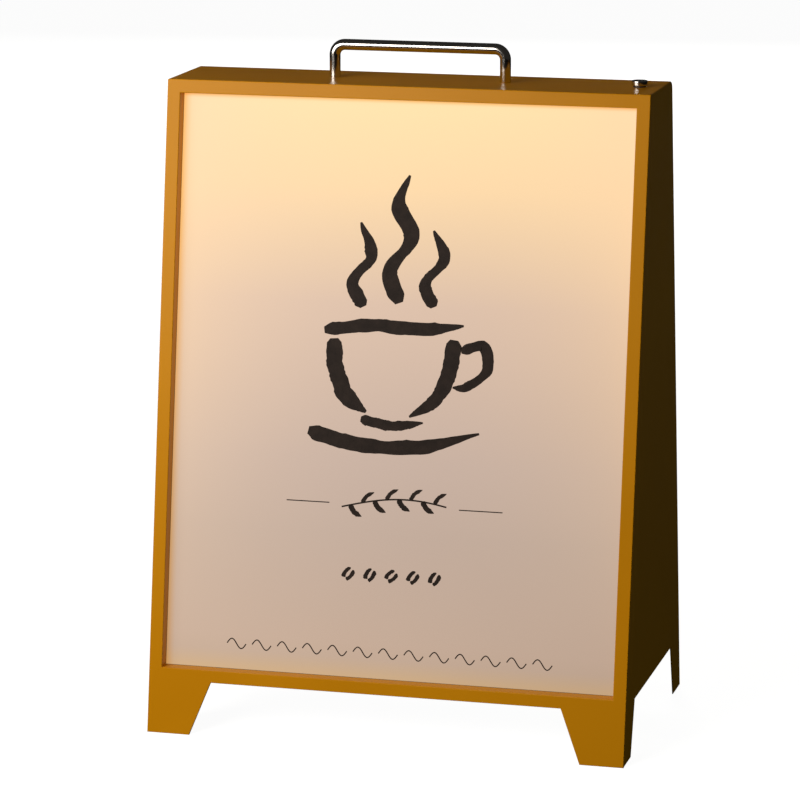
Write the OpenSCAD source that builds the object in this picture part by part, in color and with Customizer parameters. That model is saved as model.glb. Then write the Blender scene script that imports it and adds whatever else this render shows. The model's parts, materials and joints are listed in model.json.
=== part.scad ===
// A portable A-frame light box sign. A folded steel housing stands on four tongue feet and holds an
// opal front panel, which a light bar under the top plate lights from behind. It has a carry
// handle, a push button and a battery pack that is charged through a capped socket in the back.
// Millimetres. The origin is the middle of the footprint on the floor, +X is right, -Y is the lit
// face and +Z is up.

/* [Housing] */
// Width over the side plates
body_w = 420; // [390:5:460]
// Height of the top plate above the floor
body_h = 558; // [520:2:620]
// Depth over the top
top_d = 98; // [94:1:115]
// Depth over the feet
base_d = 260; // [240:2:290]
// Thickness of the folded steel sheet
sheet_t = 1.2; // [1:0.1:1.4]
// Outer radius of the bend from the top to the back
back_bend_r = 8; // [6:0.5:10]
// Length of the top sheet's lip down the back
back_lip_l = 22; // [18:1:28]
// Gap round the removable back cover
cover_gap = 0.6; // [0.4:0.1:1]
// Width of the flanges behind the back cover
flange_w = 16; // [14:1:20]

/* [Feet] */
// Height of the gap between the front feet
foot_h = 46; // [36:1:56]
// Width of a front foot on the floor
front_foot_w = 38; // [30:1:46]
// Width of a front foot at its root
front_foot_root_w = 56; // [50:1:66]
// Width of a side foot on the floor
side_foot_w = 32; // [26:1:36]
// Width of a side foot at its root
side_foot_root_w = 40; // [38:1:50]

/* [Front opening] */
// Width of the frame on each side of the opening
stile_w = 11.5; // [10:0.5:14]
// Width of the frame above the opening
top_rail_w = 11.4; // [10:0.2:16]
// Width of the frame below the opening
bottom_rail_w = 10.6; // [10:0.2:14]
// Depth of the opening in front of the panel
recess_d = 11; // [9:0.5:18]
// Thickness of the opal panel
panel_t = 3; // [2:0.5:4]
// Hidden border of the panel behind the frame
panel_border = 7; // [5:0.5:8]
// Thickness of the foam gasket in front of the panel
gasket_t = 1; // [0.6:0.1:1.4]

/* [Handle] */
// Distance between the handle's posts
handle_span = 150; // [120:2:170]
// Diameter of the handle's rod
handle_rod_d = 9.5; // [9:0.5:12]
// Height of the handle over the top plate
handle_h = 33; // [30:1:45]
// Bend radius of the rod's centre line
handle_bend_r = 9; // [8:0.5:12]

/* [Button] */
// Distance of the button from the side of the housing
button_inset = 19; // [17:0.5:24]
// Diameter of the button's cap
button_d = 13.5; // [13:0.5:15]
// Travel of the button
button_travel = 1.2; // [0.8:0.1:1.3]

/* [Light bar] */
// Width of the light bar
bar_w = 17; // [16:0.5:18]
// Height of the light bar
bar_h = 9; // [8:0.5:10]
// Distance from one light to the next
chip_pitch = 15; // [12:1:20]

/* [Battery and board] */
// Diameter of a battery cell
cell_d = 18.4; // [17:0.2:19]
// Length of a battery cell
cell_l = 65; // [60:1:68]
// Length of the controller board
board_l = 70; // [60:1:80]
// Width of the controller board
board_w = 50; // [44:1:60]

/* [Hidden] */
$fn = 48;

// Overrun of every cut, and the clearances that the pieces share
cut = 1;
screw_play = 0.2;
thread_play = 0.05;
seat_play = 0.02;

// Standard fasteners: shank radius, then head radius and height, then nut width and height
m3_r = 1.5;
m3_head_r = 2.8;
m3_head_h = 1.9;
m3_nut_af = 5.5;
m3_nut_h = 2.4;
m4_r = 2;
m4_head_r = 4;
m4_head_h = 2.4;
m4_nut_af = 7;
m4_nut_h = 3.2;
m5_r = 2.5;
m5_head_r = 4.5;
m5_head_h = 3;
driver_share = 0.45;

// The leaning faces: angle, length along the slope, and places on them
lean = atan((base_d - top_d) / 2 / body_h);
slope_l = body_h / cos(lean);
inner_w = body_w - 2 * sheet_t;
side_gap_h = foot_h + sheet_t;
base_top = side_gap_h + sheet_t;
under_sheet = sheet_t + seat_play;
under_fold = under_sheet + sheet_t;

// The y of the front plane at height z, and of a plane set in behind it by depth w
function face_y(z, w = 0) = -base_d / 2 + z * tan(lean) + w / cos(lean);
// The height of the point s up the slope and w in behind it
function slope_z(s, w = 0) = s * cos(lean) - w * sin(lean);
// The point in the side view that is s up the slope and w in behind the front plane
function face_point(s, w = 0) = [face_y(slope_z(s, w), w), slope_z(s, w)];
// The slope distance of height z on the plane set in by w
function slope_at(z, w = 0) = (z + w * sin(lean)) / cos(lean);

// The front opening
open_w = body_w - 2 * stile_w;
open_low_s = slope_at(foot_h) + bottom_rail_w;
open_high_s = slope_l - top_rail_w;
ledge_z = slope_z(open_low_s);

// The panel behind it
panel_w = open_w + 2 * panel_border;
gasket_front = recess_d + seat_play;
panel_front = gasket_front + gasket_t;
panel_back = panel_front + panel_t;
panel_low_s = slope_at(ledge_z, recess_d) - panel_border;
panel_high_s = open_high_s + panel_border;

// The clips that hold it, up each side plate
clip_shares = [0.12, 0.5, 0.88];
clip_t = 1.5;
clip_w = 16;
clip_foot_l = 24;
clip_finger_l = 14;
clip_stud_in = 14;
clip_stud_l = 8;

// The back
bend_z = body_h - back_bend_r;
bend_y = -face_y(bend_z, back_bend_r);
lip_low_z = slope_z(slope_l - back_bend_r - back_lip_l);
cover_low_s = slope_at(side_gap_h);
cover_high_s = slope_at(lip_low_z) - cover_gap;
cover_w = inner_w - 2 * cover_gap;
cover_screw_shares = [0.05, 0.5, 0.93];
cover_screw_x = body_w / 2 - sheet_t - flange_w / 2;
low_screw_x = cover_screw_x / 3;
low_screw_s = slope_at(base_top) + flange_w / 2;
flange_low_z = base_top + seat_play;
flange_high_z = bend_z;
rivet_r = 3;
rivet_flange_r = 4.5;
rivet_flange_t = 0.8;
rivet_l = 9;
cover_screw_l = 9;

// The base plate's folds
base_side_fold_h = 12;
base_side_fold_l = 180;
base_front_fold_h = 5;

// The handle
handle_rod_r = handle_rod_d / 2;
handle_x = handle_span / 2;
handle_axis_z = body_h + handle_h - handle_rod_r;
handle_thread_l = 12;
handle_washer_r = 6;
handle_washer_t = 1.2;
handle_screw_reach = 10;

// The button and its switch, from the top plate's upper face
button_x = body_w / 2 - button_inset;
button_spare_gap = 0.2;
button_gap = button_travel + button_spare_gap;
button_h = 4.2;
button_top_t = 1.2;
button_skirt_t = 0.8;
plunger_r = 2.5;
plunger_head_r = 4.4;
plunger_head_t = 1.2;
run_play = 0.05;
switch_thread_r = 4.9;
switch_hole_play = 0.2;
switch_rim_r = 5.5;
switch_rim_t = 1;
switch_thread_l = 14;
switch_case_r = 6.5;
switch_case_l = 12;
switch_wall = 2;
switch_room_r = 4;
spring_room_r = 3.9;
spring_seat_l = 8;
spring_coil_r = 3.2;
spring_wire_r = 0.25;
spring_turns = 6;
clip_ring_t = 0.6;
clip_ring_r = 3.4;
plunger_groove_r = 2;
plunger_tip = 1.4;
terminal_w = 2.8;
terminal_t = 0.5;
terminal_l = 6;
terminal_x = 3;
switch_nut_af = 14;
switch_nut_h = 2.5;
switch_washer_r = 7;
switch_washer_t = 0.6;
button_low = body_h + button_gap;
button_high = button_low + button_h;
plunger_high = button_high - button_top_t;
switch_floor = body_h - switch_thread_l;
switch_low = switch_floor - switch_case_l;
spring_low = body_h - spring_seat_l;
spring_high = plunger_high - plunger_head_t;

// The light bar, hung under the top plate close behind the panel
bar_end_gap = 20;
bar_l = inner_w - 2 * bar_end_gap;
bar_wall = 1.3;
bar_drop = m3_nut_h;
bar_high = body_h - sheet_t - bar_drop;
bar_low = bar_high - bar_h;
bar_panel_gap = 4;
bar_y = face_y(bar_low, panel_back) + bar_panel_gap + bar_w / 2;
bar_cap_t = 1.5;
bar_screw_in = 9;
bar_screw_x = bar_l / 2 - bar_screw_in;
light_board_w = 12;
light_board_t = 1;
light_board_gap = 8;
light_board_l = 2 * (bar_screw_x - light_board_gap);
chip_w = 5;
chip_h = 1.6;
lens_t = 1.2;
lens_lift = 0.6;

// The battery pack on the base plate
cell_count = 4;
cell_play = 0.2;
case_wall = 2;
case_end_play = 2;
pack_w = cell_count * (cell_d + cell_play) + 2 * case_wall + 2 * case_end_play;
pack_l = cell_l + 2 * case_wall + 2 * case_end_play;
pack_h = cell_d + 2 * case_wall;
pack_x = -62;
pack_y = 6;
lid_t = 2;
lid_lip_t = 1.2;
lid_lip_h = 2;
pack_high = base_top + pack_h;
strap_w = 16;
strap_t = 1;
strap_play = 0.3;
strap_foot_l = 12;
strap_in = pack_w / 2 + strap_play;
strap_stud_x = strap_in + strap_t + strap_foot_l / 2;
strap_stud_l = 7;

// The controller board beside it
board_x = 62;
board_y = 6;
board_t = 1.6;
board_lift = 6;
board_z = base_top + board_lift;
board_high = board_z + board_t;
spacer_r = 3;
board_hole_in = 4;
board_screw_reach = 5;

// The charging socket in the back cover
socket_in = 60;
socket_up = 30;
socket_x = socket_in - body_w / 2;
socket_s = slope_at(base_top) + socket_up;
socket_r = 4;
socket_rim_r = 6;
socket_rim_t = 1.2;
socket_l = 14;
socket_bore_r = 2.75;
socket_bore_l = 9;
socket_pin_r = 1;
socket_pin_back = 1.5;
socket_nut_af = 11;
socket_nut_h = 2.2;
cap_r = 6.4;
cap_t = 1.6;
cap_gap = 0.1;
cap_nub_r = 2.2;
cap_nub_l = 0.8;
cap_hinge_gap = 3;
cap_hinge_s = socket_rim_r + cap_hinge_gap;
cap_strap_w = 6;
cap_split = 0.3;
anchor_l = 9;
anchor_w = 8;
cap_level = socket_rim_t + cap_gap + cap_t;

// The wires: radius, and the places that their runs share
wire_r = 1.1;
wire_play = 0.15;
wire_wall_in = 7;
wire_bend_r = 10;
wire_bend_share = 0.45;
wire_bend_steps = 4;
wire_sides = 8;
wire_start_side = [1, 2, 3];
wire_floor_z = base_top + wire_r + wire_play;
wire_run_gap = 8;
clip_block = [8, 10, 8];
wire_clip_shares = [0.34, 0.72];
plug_w = 5;
plug_h = 5;

module along_x(w) {
    rotate([90, 0, 90]) linear_extrude(w, center = true) children();
}

module along_y(d) {
    rotate([90, 0, 0]) linear_extrude(d, center = true) children();
}

// Puts its children on the front plane: x across, y up the slope and z out of the face
module on_front() {
    translate([0, -base_d / 2, 0]) rotate([90 - lean, 0, 0]) children();
}

module on_back() {
    mirror([0, 1, 0]) on_front() children();
}

// A sheet in the front plane between two depths and two slope distances
module face_slab(w, low_s, high_s, front, back) {
    along_x(w) polygon([face_point(low_s, front), face_point(low_s, back),
        face_point(high_s, back), face_point(high_s, front)]);
}

module bolt_hole(r, l) {
    cylinder(h = l, r = r, center = true);
}

module rivet_hole() {
    bolt_hole(rivet_r + thread_play, 8 * sheet_t);
}

module hex_nut(af, h, bore_r) {
    difference() {
        cylinder(h = h, r = af / 2 / cos(30), $fn = 6);
        translate([0, 0, -cut]) cylinder(h = h + 2 * cut, r = bore_r);
    }
}

// A pan head screw, head up, with its head's underside on the plane z = 0
module pan_screw(r, head_r, head_h, l) {
    edge = head_h / 3;
    difference() {
        union() {
            translate([0, 0, -l]) cylinder(h = l + head_h / 2, r = r);
            cylinder(h = head_h - edge, r = head_r);
            translate([0, 0, head_h - edge]) cylinder(h = edge, r1 = head_r, r2 = head_r - edge);
        }
        translate([0, 0, head_h / 2]) cylinder(h = head_h, r = head_r * driver_share, $fn = 6);
    }
}

module front_frame() {
    half_foot = body_w / 2 - front_foot_w;
    half_root = body_w / 2 - front_foot_root_w;
    color("goldenrod") difference() {
        union() {
            along_x(body_w) polygon([[face_y(0), 0], [face_y(0, sheet_t), 0],
                [face_y(body_h, sheet_t), body_h], [face_y(body_h), body_h]]);
            along_x(open_w + 2 * sheet_t) polygon([
                [face_y(ledge_z - sheet_t, sheet_t / 2), ledge_z - sheet_t],
                [face_y(ledge_z - sheet_t, recess_d), ledge_z - sheet_t],
                face_point(open_high_s + sheet_t, recess_d),
                face_point(open_high_s + sheet_t, sheet_t / 2)]);
        }
        along_x(open_w) polygon([[face_y(ledge_z, -cut), ledge_z],
            [face_y(ledge_z, recess_d + cut), ledge_z],
            face_point(open_high_s, recess_d + cut), face_point(open_high_s, -cut)]);
        along_y(2 * base_d) polygon([[-half_foot, -cut], [half_foot, -cut], [half_foot, 0],
            [half_root, foot_h], [-half_root, foot_h], [-half_foot, 0]]);
    }
}

// The side view of a side plate, with its two feet and the round corner at the top of the back
module side_outline() {
    polygon([[face_y(0, under_sheet), 0], [face_y(0) + side_foot_w, 0],
        [face_y(side_gap_h) + side_foot_root_w, side_gap_h],
        [-face_y(side_gap_h) - side_foot_root_w, side_gap_h],
        [-face_y(0) - side_foot_w, 0], [-face_y(0), 0],
        [bend_y + back_bend_r * cos(lean), bend_z + back_bend_r * sin(lean)],
        [bend_y, body_h], [face_y(body_h, under_sheet), body_h]]);
    translate([bend_y, bend_z]) circle(back_bend_r);
}

// A side plate, drawn for the right: the web and the flange that the back cover is screwed to
module side_plate() {
    difference() {
        union() {
            translate([body_w / 2 - sheet_t / 2, 0, 0]) along_x(sheet_t) side_outline();
            translate([body_w / 2 - (flange_w + sheet_t) / 2, 0, 0]) along_x(flange_w + sheet_t)
                polygon([[-face_y(flange_low_z, under_sheet), flange_low_z],
                    [-face_y(flange_low_z, under_fold), flange_low_z],
                    [-face_y(flange_high_z, under_fold), flange_high_z],
                    [-face_y(flange_high_z, under_sheet), flange_high_z]]);
        }
        on_back() for (share = cover_screw_shares)
            translate([cover_screw_x, cover_screw_s(share), 0]) rivet_hole();
    }
}

module left_side_plate() {
    color("darkgoldenrod") mirror([1, 0, 0]) side_plate();
}

module right_side_plate() {
    color("darkgoldenrod") side_plate();
}

// The space that the folded top wraps from the front, round the bend and down the back, at the
// depth w in its sheet and run on past the two ends of the sheet by reach
module top_wrap(w, reach) {
    low = lip_low_z - reach;
    bend_r = back_bend_r - w;
    along_x(inner_w + 2 * reach) polygon([
        [face_y(body_h - w, under_sheet) - reach, body_h - w], [bend_y, body_h - w],
        [bend_y + bend_r * cos(lean), bend_z + bend_r * sin(lean)],
        [-face_y(low, w), low], [face_y(low, under_sheet) - reach, low]]);
    translate([0, bend_y, bend_z]) rotate([0, 90, 0])
        cylinder(h = inner_w + 2 * reach, r = bend_r, center = true);
}

module top_shell() {
    color("goldenrod") difference() {
        top_wrap(0, 0);
        top_wrap(sheet_t, cut);
        for (side = [-1, 1])
            translate([side * handle_x, 0, body_h]) bolt_hole(m5_r + screw_play, 4 * sheet_t);
        translate([button_x, 0, body_h]) bolt_hole(switch_thread_r + switch_hole_play, 4 * sheet_t);
    }
}

// The side view of a fold up from the base plate behind the front frame
module base_fold(h) {
    polygon([[face_y(base_top, under_sheet), base_top], [face_y(base_top, under_fold), base_top],
        [face_y(base_top + h, under_fold), base_top + h],
        [face_y(base_top + h, under_sheet), base_top + h]]);
}

module base_plate() {
    rear_fold_w = inner_w - 2 * flange_w - 2 * cover_gap;
    color("darkgoldenrod") difference() {
        union() {
            along_x(inner_w) polygon([[face_y(side_gap_h, under_sheet), side_gap_h],
                [-face_y(side_gap_h, under_sheet), side_gap_h],
                [-face_y(base_top, under_sheet), base_top],
                [face_y(base_top, under_sheet), base_top]]);
            along_x(inner_w) base_fold(base_front_fold_h);
            mirror([0, 1, 0]) along_x(rear_fold_w) base_fold(flange_w);
            for (side = [-1, 1])
                translate([side * (inner_w - sheet_t) / 2, 0, base_top + base_side_fold_h / 2])
                    cube([sheet_t, base_side_fold_l, base_side_fold_h + 2 * sheet_t], center = true);
        }
        on_back() for (side = [-1, 1])
            translate([side * low_screw_x, low_screw_s, 0]) rivet_hole();
    }
}

function cover_screw_s(share) = cover_low_s + share * (cover_high_s - cover_low_s) + flange_w / 2;

// Puts its children at each screw of the back cover, with z out of the back
module at_cover_screws() {
    on_back() {
        for (side = [-1, 1], share = cover_screw_shares)
            translate([side * cover_screw_x, cover_screw_s(share), 0]) children();
        for (side = [-1, 1])
            translate([side * low_screw_x, low_screw_s, 0]) children();
    }
}

module rear_cover() {
    color("goldenrod") difference() {
        mirror([0, 1, 0]) face_slab(cover_w, cover_low_s, cover_high_s, 0, sheet_t);
        at_cover_screws() bolt_hole(m4_r + screw_play, 4 * sheet_t);
        on_back() translate([socket_x, socket_s, 0])
            bolt_hole(socket_r + screw_play, 4 * sheet_t);
    }
}

module cover_screws() {
    color("silver") at_cover_screws() translate([0, 0, seat_play])
        pan_screw(m4_r, m4_head_r, m4_head_h, cover_screw_l);
}

// Rivet nuts, upset against the inside of the folds
module cover_rivet_nuts() {
    color("lightgray") at_cover_screws() translate([0, 0, -under_sheet]) difference() {
        union() {
            translate([0, 0, -rivet_l]) cylinder(h = rivet_l, r = rivet_r);
            translate([0, 0, -sheet_t - seat_play - rivet_flange_t])
                cylinder(h = rivet_flange_t, r = rivet_flange_r);
        }
        translate([0, 0, -rivet_l - cut]) cylinder(h = rivet_l + 2 * cut, r = m4_r + thread_play);
    }
}

module diffuser_panel() {
    color("antiquewhite") face_slab(panel_w, panel_low_s, panel_high_s, panel_front, panel_back);
}

module panel_gasket() {
    color("dimgray") difference() {
        face_slab(panel_w, panel_low_s, panel_high_s, gasket_front, panel_front);
        along_x(open_w) polygon([[face_y(ledge_z, recess_d - cut), ledge_z],
            [face_y(ledge_z, panel_front + cut), ledge_z],
            face_point(open_high_s, panel_front + cut), face_point(open_high_s, recess_d - cut)]);
    }
}

// Puts its children at each panel clip, on the inside of a side plate behind the panel: x towards
// the middle, y up the slope and z out of the front
module at_clips() {
    for (side = [0, 1]) mirror([side, 0, 0]) on_front()
        for (share = clip_shares)
            translate([inner_w / 2 - seat_play, panel_low_s + share * (panel_high_s - panel_low_s),
                -panel_back - seat_play]) mirror([1, 0, 0]) children();
}

module panel_clips() {
    color("silver") at_clips() difference() {
        union() {
            translate([0, -clip_w / 2, -clip_foot_l]) cube([clip_t, clip_w, clip_foot_l]);
            translate([0, -clip_w / 2, -clip_t]) cube([clip_finger_l, clip_w, clip_t]);
        }
        translate([0, 0, -clip_stud_in]) rotate([0, 90, 0]) bolt_hole(m4_r + screw_play, 4 * clip_t);
    }
}

module clip_studs() {
    color("lightgray") at_clips() translate([0, 0, -clip_stud_in]) rotate([0, 90, 0])
        cylinder(h = clip_stud_l, r = m4_r);
}

module clip_nuts() {
    color("silver") at_clips() translate([clip_t, 0, -clip_stud_in]) rotate([0, 90, 0])
        hex_nut(m4_nut_af, m4_nut_h, m4_r + thread_play);
}

module carry_handle() {
    bar_span = handle_span - 2 * handle_bend_r;
    post_l = handle_axis_z - handle_bend_r - body_h;
    color("silver") difference() {
        union() {
            translate([0, 0, handle_axis_z]) rotate([0, 90, 0])
                cylinder(h = bar_span, r = handle_rod_r, center = true);
            for (side = [0, 1]) mirror([side, 0, 0]) {
                translate([handle_x, 0, body_h]) cylinder(h = post_l, r = handle_rod_r);
                translate([bar_span / 2, 0, handle_axis_z - handle_bend_r]) rotate([90, 0, 0])
                    rotate_extrude(angle = 90) translate([handle_bend_r, 0]) circle(handle_rod_r);
            }
        }
        for (side = [-1, 1]) translate([side * handle_x, 0, body_h - cut])
            cylinder(h = handle_thread_l + cut, r = m5_r + thread_play);
    }
}

module handle_screws() {
    reach = handle_screw_reach + sheet_t + handle_washer_t;
    color("gray") for (side = [-1, 1])
        translate([side * handle_x, 0, body_h - sheet_t - handle_washer_t]) mirror([0, 0, 1])
            pan_screw(m5_r, m5_head_r, m5_head_h, reach);
}

module handle_washers() {
    color("silver") for (side = [-1, 1])
        translate([side * handle_x, 0, body_h - sheet_t - handle_washer_t]) difference() {
            cylinder(h = handle_washer_t, r = handle_washer_r);
            bolt_hole(m5_r + screw_play, 4 * handle_washer_t);
        }
}

module button_cap() {
    edge = button_skirt_t / 2;
    color("silver") translate([button_x, 0, 0]) difference() {
        union() {
            translate([0, 0, button_low]) cylinder(h = button_h - edge, r = button_d / 2);
            translate([0, 0, button_high - edge])
                cylinder(h = edge, r1 = button_d / 2, r2 = button_d / 2 - edge);
        }
        translate([0, 0, button_low - cut])
            cylinder(h = button_h - button_top_t + cut, r = button_d / 2 - button_skirt_t);
    }
}

module button_plunger() {
    groove_low = switch_floor - switch_wall - clip_ring_t - 2 * run_play;
    low = groove_low - plunger_tip;
    color("gray") translate([button_x, 0, 0]) difference() {
        union() {
            translate([0, 0, low]) cylinder(h = plunger_high - low, r = plunger_r);
            translate([0, 0, spring_high]) cylinder(h = plunger_head_t, r = plunger_head_r);
        }
        translate([0, 0, groove_low]) difference() {
            cylinder(h = clip_ring_t, r = 2 * plunger_r);
            translate([0, 0, -cut]) cylinder(h = clip_ring_t + 2 * cut, r = plunger_groove_r);
        }
    }
}

module plunger_clip() {
    low = switch_floor - switch_wall - clip_ring_t - 2 * run_play;
    color("dimgray") translate([button_x, 0, low]) difference() {
        cylinder(h = clip_ring_t, r = clip_ring_r);
        translate([0, 0, -cut]) cylinder(h = clip_ring_t + 2 * cut, r = plunger_groove_r);
    }
}

// A coil spring as one swept tube, from its lower end to its upper end
module button_spring() {
    steps = 12;
    sides = 6;
    rings = spring_turns * steps;
    rise = spring_high - spring_low - 2 * spring_wire_r;
    points = [for (i = [0:rings]) for (j = [0:sides - 1])
        let (turn = 360 * i / steps, a = 360 * j / sides, r = spring_coil_r + spring_wire_r * cos(a))
        [r * cos(turn), r * sin(turn), rise * i / rings + spring_wire_r * sin(a)]];
    skin = [for (i = [0:rings - 1]) for (j = [0:sides - 1])
        let (a = i * sides + j, b = i * sides + (j + 1) % sides)
        each [[a, b, b + sides], [a, b + sides, a + sides]]];
    ends = [for (j = [1:sides - 2]) each [[0, j + 1, j],
        [rings * sides, rings * sides + j, rings * sides + j + 1]]];
    color("silver") translate([button_x, 0, spring_low + spring_wire_r])
        polyhedron(points, concat(skin, ends));
}

module switch_body() {
    room_high = switch_floor - switch_wall;
    color("dimgray") translate([button_x, 0, 0]) difference() {
        union() {
            translate([0, 0, body_h]) cylinder(h = switch_rim_t, r = switch_rim_r);
            translate([0, 0, switch_floor]) cylinder(h = switch_thread_l, r = switch_thread_r);
            translate([0, 0, switch_low]) cylinder(h = switch_case_l, r = switch_case_r);
        }
        translate([0, 0, spring_low]) cylinder(h = 2 * spring_seat_l, r = spring_room_r);
        translate([0, 0, room_high - cut])
            cylinder(h = spring_low - room_high + 2 * cut, r = plunger_r + run_play);
        translate([0, 0, switch_low + switch_wall])
            cylinder(h = room_high - switch_low - switch_wall, r = switch_room_r);
    }
}

module switch_washer() {
    color("silver") translate([button_x, 0, body_h - sheet_t - switch_washer_t]) difference() {
        cylinder(h = switch_washer_t, r = switch_washer_r);
        bolt_hole(switch_thread_r + switch_hole_play, 4 * switch_washer_t);
    }
}

module switch_nut() {
    color("silver") translate([button_x, 0, body_h - sheet_t - switch_washer_t - switch_nut_h])
        hex_nut(switch_nut_af, switch_nut_h, switch_thread_r + thread_play);
}

module switch_terminals() {
    color("gold") for (side = [-1, 1])
        translate([button_x + side * terminal_x, 0, switch_low - terminal_l / 2])
            cube([terminal_t, terminal_w, terminal_l], center = true);
}

module light_bar_channel() {
    web_low = bar_high - bar_wall;
    color("silver") difference() {
        translate([0, bar_y, (bar_low + bar_high) / 2]) cube([bar_l, bar_w, bar_h], center = true);
        translate([0, bar_y, web_low - bar_h / 2])
            cube([bar_l + 2 * cut, bar_w - 2 * bar_wall, bar_h], center = true);
        for (side = [-1, 1])
            translate([side * bar_screw_x, bar_y, bar_high]) bolt_hole(m3_r + screw_play, 4 * bar_wall);
    }
}

module light_bar_board() {
    color("white") translate([0, bar_y, bar_high - bar_wall - light_board_t / 2])
        cube([light_board_l, light_board_w, light_board_t], center = true);
}

module light_bar_chips() {
    count = floor((light_board_l - 2 * chip_w) / chip_pitch);
    chip_z = bar_high - bar_wall - light_board_t - chip_h / 2;
    color("lightyellow") for (i = [0:count])
        translate([(i - count / 2) * chip_pitch, bar_y, chip_z])
            cube([chip_w, chip_w, chip_h], center = true);
}

module light_bar_lens() {
    lens_w = bar_w - 2 * bar_wall;
    color("white") translate([0, bar_y, bar_low + lens_lift + lens_t / 2])
        cube([bar_l, lens_w, lens_t], center = true);
}

module light_bar_end_caps() {
    color("whitesmoke") for (side = [-1, 1])
        translate([side * (bar_l + bar_cap_t) / 2, bar_y, (bar_low + bar_high) / 2]) difference() {
            cube([bar_cap_t, bar_w, bar_h], center = true);
            rotate([0, 90, 0]) bolt_hole(wire_r + wire_play, 4 * bar_cap_t);
        }
}

module light_bar_nuts() {
    color("lightgray") for (side = [-1, 1]) translate([side * bar_screw_x, bar_y, bar_high])
        hex_nut(m3_nut_af, m3_nut_h, m3_r + thread_play);
}

module light_bar_screws() {
    reach = bar_wall + m3_nut_h;
    color("silver") for (side = [-1, 1])
        translate([side * bar_screw_x, bar_y, bar_high - bar_wall]) mirror([0, 0, 1])
            pan_screw(m3_r, m3_head_r, m3_head_h, reach);
}

module battery_case() {
    room = [pack_w - 2 * case_wall, pack_l - 2 * case_wall, pack_h];
    color("dimgray") translate([pack_x, pack_y, base_top + pack_h / 2]) difference() {
        cube([pack_w, pack_l, pack_h], center = true);
        translate([0, 0, case_wall]) cube(room, center = true);
        translate([pack_w / 2, pack_l / 4, 0]) rotate([0, 90, 0])
            bolt_hole(wire_r + wire_play, 4 * case_wall);
    }
}

module battery_lid() {
    lip_w = pack_w - 2 * case_wall - 2 * thread_play;
    lip_l = pack_l - 2 * case_wall - 2 * thread_play;
    color("dimgray") translate([pack_x, pack_y, pack_high]) {
        translate([0, 0, lid_t / 2]) cube([pack_w, pack_l, lid_t], center = true);
        translate([0, 0, -lid_lip_h / 2]) difference() {
            cube([lip_w, lip_l, lid_lip_h], center = true);
            cube([lip_w - 2 * lid_lip_t, lip_l - 2 * lid_lip_t, lid_lip_h + cut], center = true);
        }
    }
}

module battery_cells() {
    pole_r = cell_d / 6;
    color("seagreen") for (i = [0:cell_count - 1])
        translate([pack_x + (i - (cell_count - 1) / 2) * (cell_d + cell_play), pack_y,
            base_top + case_wall + cell_d / 2]) rotate([90, 0, 0]) {
            cylinder(h = cell_l, r = cell_d / 2, center = true);
            cylinder(h = cell_l + case_end_play, r = pole_r, center = true);
        }
}

module battery_strap() {
    strap_high = pack_high + lid_t;
    color("silver") difference() {
        translate([pack_x, pack_y, 0]) along_y(strap_w) polygon([
            [-strap_stud_x - strap_foot_l / 2, base_top], [-strap_in, base_top],
            [-strap_in, strap_high], [strap_in, strap_high], [strap_in, base_top],
            [strap_stud_x + strap_foot_l / 2, base_top],
            [strap_stud_x + strap_foot_l / 2, base_top + strap_t],
            [strap_in + strap_t, base_top + strap_t], [strap_in + strap_t, strap_high + strap_t],
            [-strap_in - strap_t, strap_high + strap_t], [-strap_in - strap_t, base_top + strap_t],
            [-strap_stud_x - strap_foot_l / 2, base_top + strap_t]]);
        for (side = [-1, 1]) translate([pack_x + side * strap_stud_x, pack_y, base_top])
            bolt_hole(m4_r + screw_play, 4 * strap_t);
    }
}

module strap_studs() {
    color("lightgray") for (side = [-1, 1])
        translate([pack_x + side * strap_stud_x, pack_y, base_top])
            cylinder(h = strap_stud_l, r = m4_r);
}

module strap_nuts() {
    color("silver") for (side = [-1, 1])
        translate([pack_x + side * strap_stud_x, pack_y, base_top + strap_t])
            hex_nut(m4_nut_af, m4_nut_h, m4_r + thread_play);
}

// Puts its children at each corner hole of the board
module at_board_corners() {
    for (sx = [-1, 1], sy = [-1, 1])
        translate([board_x + sx * (board_l / 2 - board_hole_in),
            board_y + sy * (board_w / 2 - board_hole_in), 0]) children();
}

module controller_board() {
    color("darkgreen") difference() {
        translate([board_x, board_y, board_z + board_t / 2])
            cube([board_l, board_w, board_t], center = true);
        at_board_corners() translate([0, 0, board_z]) bolt_hole(m3_r + screw_play, 4 * board_t);
    }
}

module board_spacers() {
    color("gold") at_board_corners() translate([0, 0, base_top]) difference() {
        cylinder(h = board_lift, r = spacer_r);
        translate([0, 0, cut]) cylinder(h = board_lift, r = m3_r + thread_play);
    }
}

module board_screws() {
    color("silver") at_board_corners() translate([0, 0, board_high])
        pan_screw(m3_r, m3_head_r, m3_head_h, board_t + board_screw_reach - cut);
}

// The parts soldered on the board: plugs for the four wires, a coil, two capacitors and a chip
plug_shares = [[-0.44, 0.25], [-0.15, 0.42], [0.44, 0], [0.1, 0.42]];
coil_share = [-0.12, -0.1];
capacitor_shares = [[0.2, -0.22], [0.2, 0.08]];
chip_share = [-0.3, -0.2];
coil_r = 6;
coil_h = 6;
capacitor_r = 4;
capacitor_h = 11;
control_chip = [10, 8, 1.8];

function on_board(share) = [board_x + share[0] * board_l, board_y + share[1] * board_w, board_high];

module board_parts() {
    color("black") {
        for (share = plug_shares) translate(on_board(share)) translate([0, 0, plug_h / 2])
            cube([plug_w, plug_w, plug_h], center = true);
        translate(on_board(coil_share)) cylinder(h = coil_h, r = coil_r);
        for (share = capacitor_shares) translate(on_board(share))
            cylinder(h = capacitor_h, r = capacitor_r);
        translate(on_board(chip_share)) translate([0, 0, control_chip[2] / 2])
            cube(control_chip, center = true);
    }
}

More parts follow.
